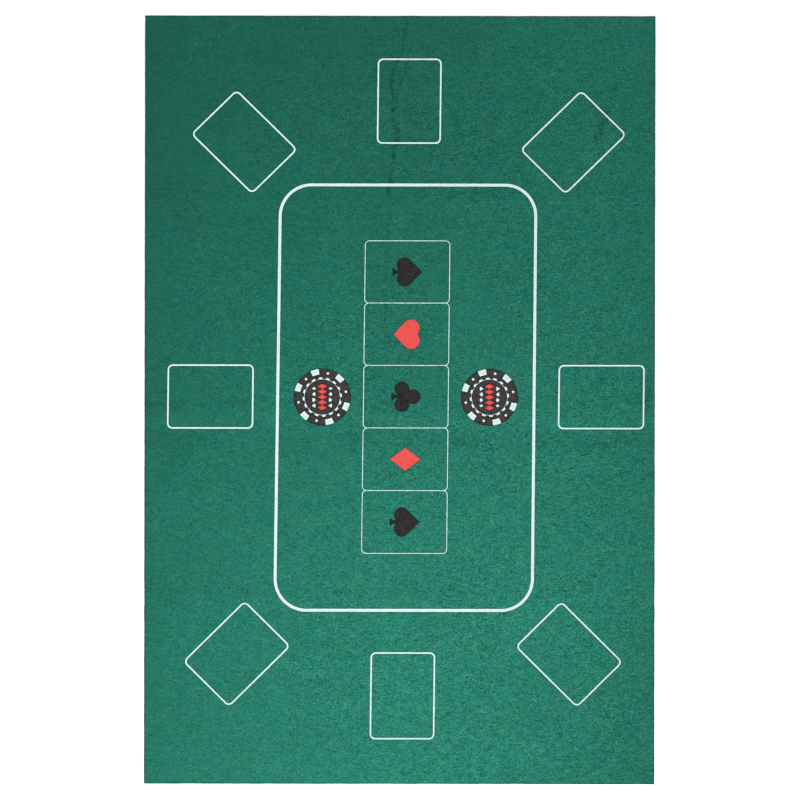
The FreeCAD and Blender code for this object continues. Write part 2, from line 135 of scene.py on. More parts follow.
def cloud(x, y, size, seed):
    """Smooth random values from -1 to 1 that change over about size millimetres."""
    values = np.random.default_rng(seed).uniform(-1.0, 1.0, (LATTICE, LATTICE))
    u = np.asarray(x) / size + LATTICE / 2
    v = np.asarray(y) / size + LATTICE / 2
    i = np.floor(u).astype(int)
    j = np.floor(v).astype(int)
    s = u - i
    t = v - j
    s = s * s * (3 - 2 * s)
    t = t * t * (3 - 2 * t)
    i0, i1 = i % LATTICE, (i + 1) % LATTICE
    j0, j1 = j % LATTICE, (j + 1) % LATTICE
    low = values[i0, j0] * (1 - s) + values[i1, j0] * s
    high = values[i0, j1] * (1 - s) + values[i1, j1] * s
    return low * (1 - t) + high * t


def clouds(x, y, layers):
    """Clouds on top of each other: each layer is how strong it is, its size and its seed."""
    return sum(strength * cloud(x, y, size, seed) for strength, size, seed in layers)


def ramp(distance, reach):
    """From 0 at no distance smoothly to 1 at reach."""
    t = np.clip(np.asarray(distance) / reach, 0.0, 1.0)
    return t * t * (3 - 2 * t)


# ---- folds and creases ----

fold_lines = sorted({round(j["pos_m"][1] / MM, 4) for j in frame["joints"] if abs(j["axis"][0]) > 0.5})
edges = [-HALF_LONG] + fold_lines + [HALF_LONG]
BANDS = {name: (edges[-2 - n], edges[-1 - n]) for n, name in enumerate(BAND_NAMES)}

# Marks that storage has left in the cloth: the points of a mark's line, how far it reaches to each side, how
# high it stands, and how much darker it is: partly pressed felt and partly painted shade that follows its
# rise and fall, with painted light where the number is below zero.
MARKS = [
    # the long crease, which wanders left of the middle
    ([(9, 446), (3, 407), (-7, 393), (-11, 369), (-7, 353), (-6, 316), (-9, 280), (-13, 234)],
     1.9, -0.16, 0.20),
    ([(-8, 290), (-13, 234), (-14, 176), (-17, 129), (-16, 60)], 2.6, -0.12, 0.06),
    ([(8, 400), (7, 385), (3, 371), (-2, 353), (-6, 334)], 1.7, -0.10, 0.19),
    ([(7, 446), (2, 305), (-3, 234), (-5, 176), (-8, 129)], 4.5, 0.10, -0.035),
    # the middle cross crease: a fold line and the roll beside it
    ([(-300, -5), (-120, -3), (60, -4), (300, -2)], 4.0, -0.12, 0.05),
    ([(-300, -24), (-140, -23), (40, -25), (300, -26)], 7.5, 0.18, -0.045),
    ([(-60, -54), (80, -52), (180, -50), (300, -46)], 12.0, -0.12, 0.06),
    ([(-300, -45), (-180, -50), (-60, -54)], 14.0, -0.06, 0.02),
    # the two quarter creases
    ([(-300, 242), (-120, 238), (80, 243), (300, 247)], 6.0, -0.08, 0.03),
    ([(-300, 226), (0, 229), (300, 231)], 6.0, 0.06, -0.02),
    ([(-300, -222), (0, -225), (300, -221)], 6.0, -0.08, 0.03),
    ([(-300, -238), (0, -240), (300, -236)], 6.0, 0.06, -0.02),
    # small wrinkles
    ([(246, 346), (238, 325), (225, 300)], 3.4, -0.2, 0.16),
    ([(253, 342), (245, 320), (233, 298)], 3.0, 0.12, -0.04),
    ([(-126, 346), (-121, 328), (-116, 306)], 2.0, -0.08, 0.06),
    ([(-9, 372), (-8, 352)], 2.0, -0.1, 0.04),
    ([(291, 24), (294, 6), (291, -12)], 5.0, -0.2, 0.12),
    ([(-268, -64), (-240, -52), (-226, -31)], 3.0, -0.12, 0.03),
    ([(120, -120), (150, -131), (171, -120)], 4.0, -0.1, 0.03),
    ([(-96, -330), (-60, -344), (-38, -370)], 4.0, -0.1, 0.035),
    ([(206, -205), (238, -246), (262, -262)], 4.0, -0.12, 0.04),
]
# A mark fades over this many times its reach at each end, unless it runs to the mat's side.
MARK_END = 3


def mark_weight(x, y, points, reach):
    """How much of a mark there is at x, y: 1 on its line and nearly 0 at twice its reach."""
    total = sum(math.dist(points[n], points[n + 1]) for n in range(len(points) - 1))
    best = np.zeros(np.shape(x))
    passed = 0.0
    for (ax, ay), (bx, by) in zip(points, points[1:]):
        ex, ey = bx - ax, by - ay
        length = math.hypot(ex, ey)
        t = np.clip(((x - ax) * ex + (y - ay) * ey) / length**2, 0.0, 1.0)
        away = np.hypot(x - ax - ex * t, y - ay - ey * t)
        along = passed + t * length
        ends = np.minimum(ramp(along, reach * MARK_END), ramp(total - along, reach * MARK_END))
        at_side = max(abs(points[0][0]), abs(points[-1][0])) >= HALF_WIDE
        best = np.maximum(best, np.exp(-((away / reach) ** 2)) * (1.0 if at_side else ends))
        passed += length
    return best


# Layers of clouds: how strong each is, its size in millimetres and its seed.
DRIFT_ACROSS = ((3.0, 31.0, 11), (1.4, 9.0, 12), (0.9, 3.5, 15))
DRIFT_ALONG = ((3.0, 37.0, 13), (1.4, 8.0, 14))
BUMPS = ((0.10, 46.0, 1), (0.06, 17.0, 2), (0.035, 6.0, 3))
# The cloth is flat at a fold line, and has its full height this far from it.
LONG_FOLD_FLAT = 5.0
CROSS_FOLD_FLAT = 3.5


def wandering(x, y):
    """The same place with a little drift, so that no mark runs dead straight."""
    return x + clouds(x, y, DRIFT_ACROSS), y + clouds(x, y, DRIFT_ALONG)


def fold_fade(x, y):
    """0 on a fold line and 1 a few millimetres from it."""
    fade = ramp(np.abs(x), LONG_FOLD_FLAT)
    for line in fold_lines:
        fade = fade * ramp(np.abs(y - line), CROSS_FOLD_FLAT)
    return fade


def half_height(x, y):
    """Bumps and marks of the cloth, before the two halves are made to nest."""
    bumps = clouds(x, y, BUMPS)
    wx, wy = wandering(x, y)
    for points, reach, high, _ in MARKS:
        bumps = bumps + high * mark_weight(wx, wy, points, reach)
    return bumps


def height(x, y):
    """Height of the felt's face above its nominal plane. Each half is the other's negative, so that the two
    faces nest where the mat is folded along its length."""
    return fold_fade(x, y) * 0.5 * (half_height(x, y) - half_height(-x, y))


# Each of these is the value at the middle, its change from there to the right side, and to the far end.
NAP = (1.05, 0.28, -0.19)
# The felt's tone falls towards the far end: painted light and shade, brighter near the softbox and darker
# away from it, on top of the lamp's own fall-off.
TONE_AND_PAINTED_LIGHT_SLOPE = (0.975, 0.0, -0.15351)
# Painted light on the ink: brighter towards the far end and darker towards the right, to offset the softbox's
# fall-off.
INK_PAINTED_LIGHT = (0.96, -0.12, 0.20)
# How much of the nap is gone at the long sides and at the ends, and how sharply that sets in.
NAP_LOSS = ((0.25, 6), (0.2, 8))
# Painted shade towards the long sides: how much darker they are, and how sharply that sets in.
SIDE_PAINTED_SHADE = (0.10, 6)
FAR_RIGHT_BRIGHTER = 0.22
NAP_PATCHES = ((0.16, 80.0, 31), (0.12, 22.0, 32))
TONE_PATCHES = ((0.030, 70.0, 21), (0.022, 27.0, 22), (0.030, 11.0, 23))
# How strongly a mark's darkening shows on average, and how that changes along it: partly worn felt, partly
# painted shade.
MARK_WEAR_AND_SHADE = 1.3
MARK_WEAR_AND_SHADE_PATCHES = ((0.6, 23.0, 24), (0.5, 8.0, 25), (1.3, 3.0, 26))
# The cut edge is darker, over this many millimetres: partly pressed felt, partly painted shade where the edge
# rounds down.
CUT_EDGE_PRESSED_AND_SHADED = 0.25
CUT_EDGE_WIDE = 1.6


def sloped(x, y, slope):
    """A value that changes evenly over the mat."""
    middle, across, along = slope
    return middle + across * x / HALF_WIDE + along * y / HALF_LONG


def nap(x, y):
    """How strongly the matted fibres stand out: least in the far left of the mat, most in the near right."""
    value = sloped(x, y, NAP)
    for share, (loss, power) in zip((x / HALF_WIDE, y / HALF_LONG), NAP_LOSS):
        value = value * (1.0 - loss * np.abs(share) ** power)
    return value + clouds(x, y, NAP_PATCHES)


def tone_and_painted_light(x, y):
    """How bright the felt is, about 1: its own patchy tone and pressed marks, with painted light and shade on
    top, darker towards the far end, at the long sides, along the marks and at the cut edge.
    """
    value = sloped(x, y, TONE_AND_PAINTED_LIGHT_SLOPE) + clouds(x, y, TONE_PATCHES)
    value = value + FAR_RIGHT_BRIGHTER * np.maximum(x, 0.0) / HALF_WIDE * y / HALF_LONG
    # painted shade towards the long sides
    side_shade, power = SIDE_PAINTED_SHADE
    value = value - side_shade * (np.abs(x) / HALF_WIDE) ** power
    wx, wy = wandering(x, y)
    # the marks: partly pressed, worn felt and partly painted shade and light that follow their rise and fall
    wear_and_shade = np.maximum(MARK_WEAR_AND_SHADE + clouds(x, y, MARK_WEAR_AND_SHADE_PATCHES), 0.0)
    for points, reach, _, dark in MARKS:
        value = value - dark * wear_and_shade * mark_weight(wx, wy, points, reach)
    # painted shade, with pressed felt, darkening the cut edge
    to_edge = np.minimum(HALF_WIDE - np.abs(x), HALF_LONG - np.abs(y))
    return value * (CUT_EDGE_PRESSED_AND_SHADED + (1.0 - CUT_EDGE_PRESSED_AND_SHADED) * ramp(to_edge, CUT_EDGE_WIDE))


# ---- meshes ----

# How far from the print's middle the board and its suits go, across and along.
BOARD_REACH = (52.0, 190.0)


def keep(mesh, name, values):
    """Store one number for each point of a mesh, for its material to read."""
    stored = mesh.attributes.new(name, "FLOAT", "POINT")
    stored.data.foreach_set("value", np.asarray(values, np.float32))


def to_mesh(name, points, faces, material, sharp_deg=40.0, depth=None):
    """An object from points in millimetres, which keep their rest place, their tone with its painted light
    and shade, and their nap. Ink also keeps its points' depth inside the ink, whether they are on the board,
    and a painted light that brightens it towards the far end and darkens it towards the right."""
    mesh = bpy.data.meshes.new(name)
    mesh.from_pydata((points * MM).tolist(), [], faces)
    mesh.validate()
    mesh.materials.append(material)
    rest = mesh.attributes.new("rest", "FLOAT_VECTOR", "POINT")
    rest.data.foreach_set("vector", (points * MM).astype(np.float32).ravel())
    x, y = points[:, 0], points[:, 1]
    keep(mesh, "tone_and_painted_light", tone_and_painted_light(x, y))
    keep(mesh, "nap", nap(x, y))
    if depth is not None:
        keep(mesh, "depth", depth)
        from_middle = np.abs(points[:, :2] - PRINT_SHIFT)
        keep(mesh, "board", np.all(from_middle < BOARD_REACH, axis=1))
        keep(mesh, "ink_painted_light", sloped(x, y, INK_PAINTED_LIGHT))
    mesh.shade_smooth()
    mesh.set_sharp_from_angle(angle=math.radians(sharp_deg))
    piece = bpy.data.objects.new(name, mesh)
    SCENE.collection.objects.link(piece)
    return piece


def steps(low, high, pitch, fine, spots, reach):
    """Values from low to high: about pitch apart, and fine apart within reach of any of the spots."""
    values = [low]
    while values[-1] < high - 1e-6:
        here = values[-1]
        near = min([abs(here + fine - spot) for spot in spots] + [1e9])
        values.append(here + (fine if near < reach else min(pitch, max(fine, (near - reach) * 0.6 + fine))))
    values = np.array(values)
    values[-1] = high
    if len(values) > 2 and values[-1] - values[-2] < fine * 0.4:
        values = np.delete(values, -2)
    return values


def border_faces(faces):
    """The directed sides of the faces that no other face shares, as pairs of point numbers."""
    starts = np.array([f[k] for f in faces for k in range(len(f))], np.int64)
    ends = np.array([f[(k + 1) % len(f)] for f in faces for k in range(len(f))], np.int64)
    span = int(max(starts.max(), ends.max())) + 1
    lone = ~np.isin(starts * span + ends, ends * span + starts)
    return list(zip(starts[lone].tolist(), ends[lone].tolist()))


def closed(points, faces, bottom):
    """A closed skin from an open upper one: the same faces again at the bottom heights, and walls between."""
    count = len(points)
    lower = points.copy()
    lower[:, 2] = bottom
    walls = [(b, a, a + count, b + count) for a, b in border_faces(faces)]
    under = [tuple(n + count for n in reversed(f)) for f in faces]
    return np.vstack([points, lower]), faces + under + walls


# ---- the felt ----

FELT_PITCH = 2.2
FELT_FINE = 0.7
# Points are closer together this near to a cut edge or a cross fold.
FINE_REACH = 2.0
# The long fold bends over this far to each side, in this many columns.
FOLD_REACH = 1.3
FOLD_COLUMNS = 9
# The sharp creases beside the long fold need closer columns.
CREASED_REACH = 18.0
CREASED_PITCH = 0.9
# The cut edge is a little soft, and wavers by a fraction of a millimetre.
EDGE_DROP = 0.28
EDGE_SOFT = 1.4
WAVER_REACH = 3.0
SIDE_WAVER = ((0.12, 14.0, 41), (0.05, 2.5, 42))
END_WAVER = ((0.12, 14.0, 43), (0.05, 2.5, 44))
# The bead under a cross fold: its radius, the depth of its middle, the angles it starts and stops at, its
# points, and how far it stays from the mat's sides.
BEAD_RADIUS = FELT_THICK - 0.03
BEAD_MIDDLE = -0.06
BEAD_ANGLES = (-98.0, -9.0)
BEAD_POINTS = 10
BEAD_FROM_SIDE = 0.5


def mirrored(right):
    """The columns of both halves, from those of the right half, which start at the long fold."""
    return np.concatenate([-right[:0:-1], right])


def felt_columns():
    """Columns of the felt, right across the mat."""
    fold = np.linspace(0.0, FOLD_REACH, FOLD_COLUMNS)
    creased = steps(FOLD_REACH, CREASED_REACH, CREASED_PITCH, FELT_FINE, [FOLD_REACH], FINE_REACH)
    smooth = steps(CREASED_REACH, HALF_WIDE, FELT_PITCH, FELT_FINE, [HALF_WIDE], FINE_REACH)
    return mirrored(np.concatenate([fold, creased[1:], smooth[1:]]))


def strip(here, after, wide):
    """The faces between two rows of points, whose first points are here and after."""
    return [(here + c, here + c + 1, after + c + 1, after + c) for c in range(wide - 1)]


def felt_band(name, low, high, material):
    """One band of the sheet, right across the mat."""
    columns = felt_columns()
    rows = steps(low, high, FELT_PITCH, FELT_FINE, [low, high], FINE_REACH)
    x, y = np.meshgrid(columns, rows)
    to_side = HALF_WIDE - np.abs(x)
    to_end = HALF_LONG - np.abs(y)
    top = FELT_THICK + height(x, y)
    top = top - EDGE_DROP * (1 - ramp(np.minimum(to_side, to_end), EDGE_SOFT))
    side_waver = clouds(y, x * 0, SIDE_WAVER) * (1 - ramp(to_side, WAVER_REACH))
    end_waver = clouds(x, y * 0, END_WAVER) * (1 - ramp(to_end, WAVER_REACH))
    points = np.stack([x + np.sign(x) * side_waver, y + np.sign(y) * end_waver, top], -1).reshape(-1, 3)
    wide = len(columns)
    faces = []
    for row in range(len(rows) - 1):
        faces += strip(row * wide, (row + 1) * wide, wide)
    points, faces = closed(points, faces, 0.0)
    return to_mesh(name, points, faces, material, sharp_deg=80.0)


def fold_bead(name, line, way, material):
    """Felt that fills the outer side of a cross fold when it is closed: a quarter round under the fold line,
    on the panel's side of it, which is +Y where way is 1."""
    columns = felt_columns()
    columns = columns[np.abs(columns) < HALF_WIDE - BEAD_FROM_SIDE]
    angles = np.radians(np.linspace(*BEAD_ANGLES, BEAD_POINTS))
    ring = [(0.0, BEAD_MIDDLE)]
    ring += [(BEAD_RADIUS * math.cos(angle), BEAD_RADIUS * math.sin(angle)) for angle in angles]
    if way < 0:
        ring = [(-y, z) for y, z in reversed(ring)]
    count, wide = len(ring), len(columns)
    points = np.array([(x, line + y, FELT_THICK + z) for y, z in ring for x in columns])
    faces = []
    for row in range(count):
        faces += strip(row * wide, (row + 1) % count * wide, wide)
    faces.append(tuple(row * wide for row in range(count)))
    faces.append(tuple(row * wide + wide - 1 for row in reversed(range(count))))
    return to_mesh(name, points, faces, material)


# ---- signed distances of the printed figures, below zero inside them ----


def rounded_box(u, v, wide, tall, radius):
    """A box with round corners."""
    across = np.abs(u) - (wide / 2 - radius)
    along = np.abs(v) - (tall / 2 - radius)
    outside = np.hypot(np.maximum(across, 0), np.maximum(along, 0))
    return outside + np.minimum(np.maximum(across, along), 0) - radius


def box_line(wide, tall, radius, line):
    """A shape that can be printed: the outline of a box with round corners."""

    def shape(u, v):
        return np.abs(rounded_box(u, v, wide, tall, radius)) - line / 2

    return shape


def polygon(u, v, corners):
    """A shape with straight sides."""
    nearest = np.full(np.shape(u), np.inf)
    inside = np.zeros(np.shape(u), bool)
    for (ax, ay), (bx, by) in zip(corners, corners[1:] + corners[:1]):
        ex, ey = bx - ax, by - ay
        t = np.clip(((u - ax) * ex + (v - ay) * ey) / (ex * ex + ey * ey), 0.0, 1.0)
        nearest = np.minimum(nearest, (u - ax - ex * t) ** 2 + (v - ay - ey * t) ** 2)
        if ay != by:
            inside ^= ((ay > v) != (by > v)) & (u < ex * (v - ay) / ey + ax)
    return np.where(inside, -1.0, 1.0) * np.sqrt(nearest)


def disc(u, v, x, y, radius):
    """A full circle whose middle is at x, y."""
    return np.hypot(u - x, v - y) - radius


def stem(u, v, foot):
    """The stem of a spade or club, from the lobes down to its foot."""
    neck = foot * STEM["neck_share"]
    upper = [(0, STEM["neck"]), (-neck, STEM["neck"]), (-foot, STEM["end"])]
    return polygon(u, v, upper + [(x, -y) for x, y in reversed(upper)])


def two_lobes(u, v, lobe, side, tip):
    """Two round lobes that taper to a tip: a heart, or a spade without its stem."""
    touch = math.acos(lobe / math.hypot(side, tip)) - math.atan2(side, tip)
    reach = (lobe * math.cos(touch), side + lobe * math.sin(touch))
    body = polygon(u, v, [(tip, 0), reach, (0, side), (0, -side), (reach[0], -reach[1])])
    return np.minimum(body, np.minimum(disc(u, v, 0, side, lobe), disc(u, v, 0, -side, lobe)))


def spade(u, v):
    """A spade that points to +U."""
    u = u + (SPADE["tip"] - SPADE["foot"]) / 2
    body = two_lobes(u, v, SPADE["lobe"], SPADE["side"], SPADE["tip"])
    return np.minimum(body, stem(u, v, SPADE["foot"]))


def heart(u, v):
    """A heart that points to -U."""
    u = -u + (HEART["tip"] - HEART["lobe"]) / 2
    return two_lobes(u, v, HEART["lobe"], HEART["side"], HEART["tip"])


def club(u, v):
    """A club with its top lobe at +U."""
    u = u + (CLUB["top"] + CLUB["lobe"] - CLUB["foot"]) / 2
    hub = polygon(u, v, [(0, -CLUB["side"]), (CLUB["top"], 0), (0, CLUB["side"])])
    value = np.minimum(hub, stem(u, v, CLUB["foot"]))
    for x, y in ((CLUB["top"], 0), (0, CLUB["side"]), (0, -CLUB["side"])):
        value = np.minimum(value, disc(u, v, x, y, CLUB["lobe"]))
    return value


def diamond(u, v, wide=DIAMOND[0], tall=DIAMOND[1]):
    """A diamond, wide along U and tall along V."""
    return polygon(u, v, [(wide / 2, 0), (0, tall / 2), (-wide / 2, 0), (0, -tall / 2)])


SUITS = {"spade": spade, "heart": heart, "club": club, "diamond": diamond}


def chip_blocks(u, v):
    """The blocks round a chip's rim."""
    away = np.hypot(u, v)
    turn = np.degrees(np.arctan2(v, u))
    value = np.full(np.shape(u), np.inf)
    for angle in BLOCK_ANGLES:
        off = np.abs((turn - angle + 90.0) % 180.0 - 90.0)
        side = np.radians(off - BLOCK["sweep"] / 2) * away
        across = np.maximum(BLOCK["inner"] - away, away - BLOCK["outer"])
        value = np.minimum(value, np.maximum(side, across))
    return value


def chip_dots(u, v):
    """A dot between every two blocks."""
    angles = sorted(angle + turn for angle in BLOCK_ANGLES for turn in (0.0, 180.0))
    value = np.full(np.shape(u), np.inf)
    for first, last in zip(angles, angles[1:] + [angles[0] + 360.0]):
        middle = math.radians((first + last) / 2)
        x, y = DOT["ring"] * math.cos(middle), DOT["ring"] * math.sin(middle)
        value = np.minimum(value, disc(u, v, x, y, DOT["radius"]))
    return value


def chip_dashes(u, v):
    """The thin ring and the dashes on it."""
    away = np.hypot(u, v)
    ring = np.maximum(RING[0] - away, away - RING[1])
    pitch = math.tau / DASH["count"]
    turn = (np.arctan2(v, u) - math.radians(DASH["turn"]) + pitch / 2) % pitch - pitch / 2
    out, side = away * np.cos(turn), np.abs(away * np.sin(turn))
    dash = np.maximum(side - DASH["half"], np.maximum(DASH["inner"] - out, out - DASH["outer"]))
    return np.minimum(ring, dash)


def chip_white(u, v, way):
    """All that is white on a chip. The small suits stand upside down where way is -1."""
    value = np.minimum(chip_blocks(u, v), np.minimum(chip_dots(u, v), chip_dashes(u, v)))
    scale = SMALL_SUIT["scale"]
    for row, kind in enumerate(SMALL_SUITS):
        y = SMALL_SUIT["pitch"] * ((len(SMALL_SUITS) - 1) / 2 - row) * way
        for x in (-SMALL_SUIT["x"], SMALL_SUIT["x"]):
            value = np.minimum(value, SUITS[kind]((u - x) / scale * way, (v - y) / scale * way) * scale)
    return value


def chip_red(u, v):
    """The column of lozenges."""
    value = np.full(np.shape(u), np.inf)
    for row in range(LOZENGE["count"]):
        y = LOZENGE["pitch"] * (row - (LOZENGE["count"] - 1) / 2)
        value = np.minimum(value, diamond(u, v - y, LOZENGE["wide"], LOZENGE["tall"]))
    return value


def chip_black(u, v, way, radius):
    """The chip's face, out to a radius and left open where it is white or red."""
    return np.maximum(disc(u, v, 0, 0, radius), -np.minimum(chip_white(u, v, way), chip_red(u, v)))


# ---- the whole print, as one field of distances for each kind of figure ----

INK_PITCH = 0.4
# The distance where no figure is near.
FAR_AWAY = 50.0
# How far the dark rim beside the ink reaches, and how dark it is next to the ink: partly soaked felt, partly
# painted shade of the felt pressed round the ink.
SOAK_AND_SHADE_WIDE = 0.9
SOAK_AND_SHADE_DIM = 0.30
# Ink creeps a little into the fibres, so no edge is quite even.
CREEP = ((0.10, 1.1, 51), (0.08, 3.0, 52))
# How far a figure may reach from its own middle.
CORNER_SEAT_REACH = 80.0
SEAT_REACH = 62.0
BETTING_REACH = 270.0
BOARD_BOX_REACH = 56.0
SUIT_REACH = 24.0
CHIP_REACH = CHIP_RADIUS + 3.0


class Print:
    """Fields of signed distance over the mat, sampled where the columns and rows of a fine grid cross: the
    ink's own, and those of the ink together with the dark rim beside it, where the felt is soaked and painted
    with shade."""

    def __init__(self):
        fold = np.linspace(0.0, FOLD_REACH, FOLD_COLUMNS)
        smooth = np.linspace(FOLD_REACH, HALF_WIDE, int((HALF_WIDE - FOLD_REACH) / INK_PITCH))
        self.columns = mirrored(np.concatenate([fold, smooth[1:]]))
        self.rows = np.linspace(-HALF_LONG, HALF_LONG, int(MAT_LONG / INK_PITCH) + 1)
        self.inked = {}
        self.soaked_and_shaded = {}

    def draw(self, kind, shape, at, reach, turn=0.0, lean=0.0, soaked_and_shaded_shape=None):
        """Add a figure: shape gives its distances round its own middle, at is its place in the print, turn
        is in degrees and lean in radians. Where the rim's own shape is given, it says how far the dark rim
        goes, where the felt is soaked and painted with shade; otherwise the rim is the same all round."""
        empty = np.full((len(self.rows), len(self.columns)), FAR_AWAY)
        inked = self.inked.setdefault(kind, empty)
        soaked_and_shaded = self.soaked_and_shaded.setdefault(kind, empty.copy())
        swell = 1.0 - PRINT_SPREAD * at[1]
        middle_x = at[0] * swell + PRINT_SHIFT[0] + at[1] * PRINT_LEAN
        middle_y = at[1] * swell + PRINT_SHIFT[1]
        c0, c1 = np.searchsorted(self.columns, (middle_x - reach, middle_x + reach))
        r0, r1 = np.searchsorted(self.rows, (middle_y - reach, middle_y + reach))
        x, y = np.meshgrid(self.columns[c0:c1], self.rows[r0:r1])
        creep = clouds(x, y, CREEP)
        c, s = math.cos(math.radians(turn)), math.sin(math.radians(turn))
        across = (x - middle_x) * (1.0 + PRINT_SPREAD * (at[1] + y - middle_y))
        along = (y - middle_y) * (1.0 + PRINT_SPREAD * (2 * at[1] + y - middle_y))
        v = along * c - across * s
        u = across * c + along * s - v * math.tan(lean)
        value = shape(u, v) + creep
        around = soaked_and_shaded_shape(u, v) + creep if soaked_and_shaded_shape else value - SOAK_AND_SHADE_WIDE
        inked[r0:r1, c0:c1] = np.minimum(inked[r0:r1, c0:c1], value)
        soaked_and_shaded[r0:r1, c0:c1] = np.minimum(soaked_and_shaded[r0:r1, c0:c1], around)


def draw_seats(printed):
    """The eight seat boxes. Those at the corners are a little out of square."""
    lying = box_line(SEAT["long"], SEAT["short"], SEAT["radius"], SEAT["line"])
    upright = box_line(SEAT["short"], SEAT["long"], SEAT["radius"], SEAT["line"])
    out_of_square = math.radians(90.0 - 2 * SEAT_CORNER_TURN)
    for way in SIDES.values():
        for along in ENDS.values():
            slope = way * along
            place = (SEAT_CORNER[0] * way, SEAT_CORNER[1] * along)
            printed.draw("corner_seat_box", lying, place, CORNER_SEAT_REACH,
                         SEAT_CORNER_TURN * slope, -out_of_square * slope)
        printed.draw("side_seat_box", lying, (SEAT_SIDE_X * way, 0), SEAT_REACH, lean=PRINT_LEAN)
    for along in ENDS.values():
        printed.draw("end_seat_box", upright, (0, SEAT_END_Y * along), SEAT_REACH, lean=PRINT_LEAN)


def draw_chip(printed, way):
    """One printed chip: the right one where way is 1, the left one where it is -1. Its inks meet, so the dark
    rim of soaked felt and painted shade lies only round the outside."""

    def marks(u, v):
        return chip_white(u, v, way)

    def face(u, v):
        return chip_black(u, v, way, CHIP_RADIUS)

    def soaked_and_shaded_face(u, v):
        return chip_black(u, v, way, CHIP_RADIUS + SOAK_AND_SHADE_WIDE)

    place = (CHIP[0] * way, CHIP[1])
    printed.draw("chip_marks", marks, place, CHIP_REACH, soaked_and_shaded_shape=marks)
    printed.draw("black_print", face, place, CHIP_REACH, soaked_and_shaded_shape=soaked_and_shaded_face)
    printed.draw("red_print", chip_red, place, CHIP_REACH, soaked_and_shaded_shape=chip_red)


def draw_board(printed):
    """The five boxes down the middle, each with its suit."""
    box = box_line(**BOARD)
    for row, suit in enumerate(BOARD_SUITS):
        place = (0, BOARD_Y + BOARD["tall"] * ((len(BOARD_SUITS) - 1) / 2 - row))
        ink = "red_print" if suit in RED_SUITS else "black_print"
        printed.draw("board_boxes", box, place, BOARD_BOX_REACH, lean=PRINT_LEAN)
        printed.draw(ink, SUITS[suit], place, SUIT_REACH)


def draw_print():
    """Everything that is printed on the mat. What is white on the middle crease is one kind there."""
    printed = Print()
    draw_seats(printed)
    for way in SIDES.values():
        draw_chip(printed, way)
    printed.draw("betting_line", box_line(**BETTING), (0, 0), BETTING_REACH, lean=PRINT_LEAN)
    draw_board(printed)
    for fields in (printed.inked, printed.soaked_and_shaded):
        white = [fields[kind] for kind in ("side_seat_box", "betting_line", "board_boxes", "chip_marks")]
        fields["white_print"] = np.minimum.reduce(white)
    return printed


# The row and column steps to the corners of a cell, in the order of its sides.
CORNER_STEP = ((0, 0), (0, 1), (1, 1), (1, 0))
# Distances nearer to zero than this are moved to it, so that no outline runs through a corner.
NEAR_ZERO = 1e-4


def inked_skin(printed, kind, low, high):
    """The inked part of a field that lies between two rows of the mat, with the dark rim of soaked felt and
    painted shade beside it: its points, each with its depth inside the ink, and its faces."""
    inner = printed.rows[(printed.rows > low + INK_PITCH / 3) & (printed.rows < high - INK_PITCH / 3)]
    rows = np.concatenate([[low], inner, [high]])
    place = np.clip(np.searchsorted(printed.rows, rows, "right") - 1, 0, len(printed.rows) - 2)
    share = ((rows - printed.rows[place]) / (printed.rows[place + 1] - printed.rows[place]))[:, None]
    field, ink = [of[kind][place] * (1 - share) + of[kind][place + 1] * share
                  for of in (printed.soaked_and_shaded, printed.inked)]
    field = np.where(np.abs(field) < NEAR_ZERO, NEAR_ZERO, field)
    inside = field < 0
    touched = inside[:-1, :-1] | inside[:-1, 1:] | inside[1:, 1:] | inside[1:, :-1]
    cell_r, cell_c = np.nonzero(touched)
    points, faces, known = [], [], {}
    columns = printed.columns

    def point(key, x, y, depth):
        """The number of the point at a corner or on a side, which is made when it is first asked for."""
        if key not in known:
            known[key] = len(points)
            points.append((x, y, depth))
        return known[key]

    for r, c in zip(cell_r.tolist(), cell_c.tolist()):
        face = []
        for k in range(4):
            ra, ca = r + CORNER_STEP[k][0], c + CORNER_STEP[k][1]
            rb, cb = r + CORNER_STEP[(k + 1) % 4][0], c + CORNER_STEP[(k + 1) % 4][1]
            da, db = field[ra, ca], field[rb, cb]
            if da < 0:
                face.append(point((ra, ca), columns[ca], rows[ra], -ink[ra, ca]))
            if (da < 0) != (db < 0):
                t = da / (da - db)
                key = (min((ra, ca), (rb, cb)), max((ra, ca), (rb, cb)))
                x = columns[ca] + (columns[cb] - columns[ca]) * t
                y = rows[ra] + (rows[rb] - rows[ra]) * t
                depth = -(ink[ra, ca] + (ink[rb, cb] - ink[ra, ca]) * t)
                face.append(point(key, x, y, depth))
        if len(set(face)) > 2:
            faces.append(tuple(face))
    return np.array(points, float), faces


# How far ink stands above the felt's face and reaches below it, and how far it stops short of a fold line.
INK_RISE = 0.10
INK_SINK = 0.22
INK_SHORT_OF_FOLD = 0.02


def ink_piece(name, printed, kind, low, high, material):
    """One kind of figure on one band, as a film that follows the felt."""
    flat, faces = inked_skin(printed, kind, low + INK_SHORT_OF_FOLD, high - INK_SHORT_OF_FOLD)
    face_z = FELT_THICK + height(flat[:, 0], flat[:, 1])
    points = np.column_stack([flat[:, :2], face_z + INK_RISE])
    points, faces = closed(points, faces, face_z - INK_SINK)
    return to_mesh(name, points, faces, material, sharp_deg=50.0, depth=np.tile(flat[:, 2], 2))


# ---- materials ----

# The input and output sockets of a colour mix.
MIX_SHARE, MIX_A, MIX_B, MIX_RESULT = 0, 6, 7, 2


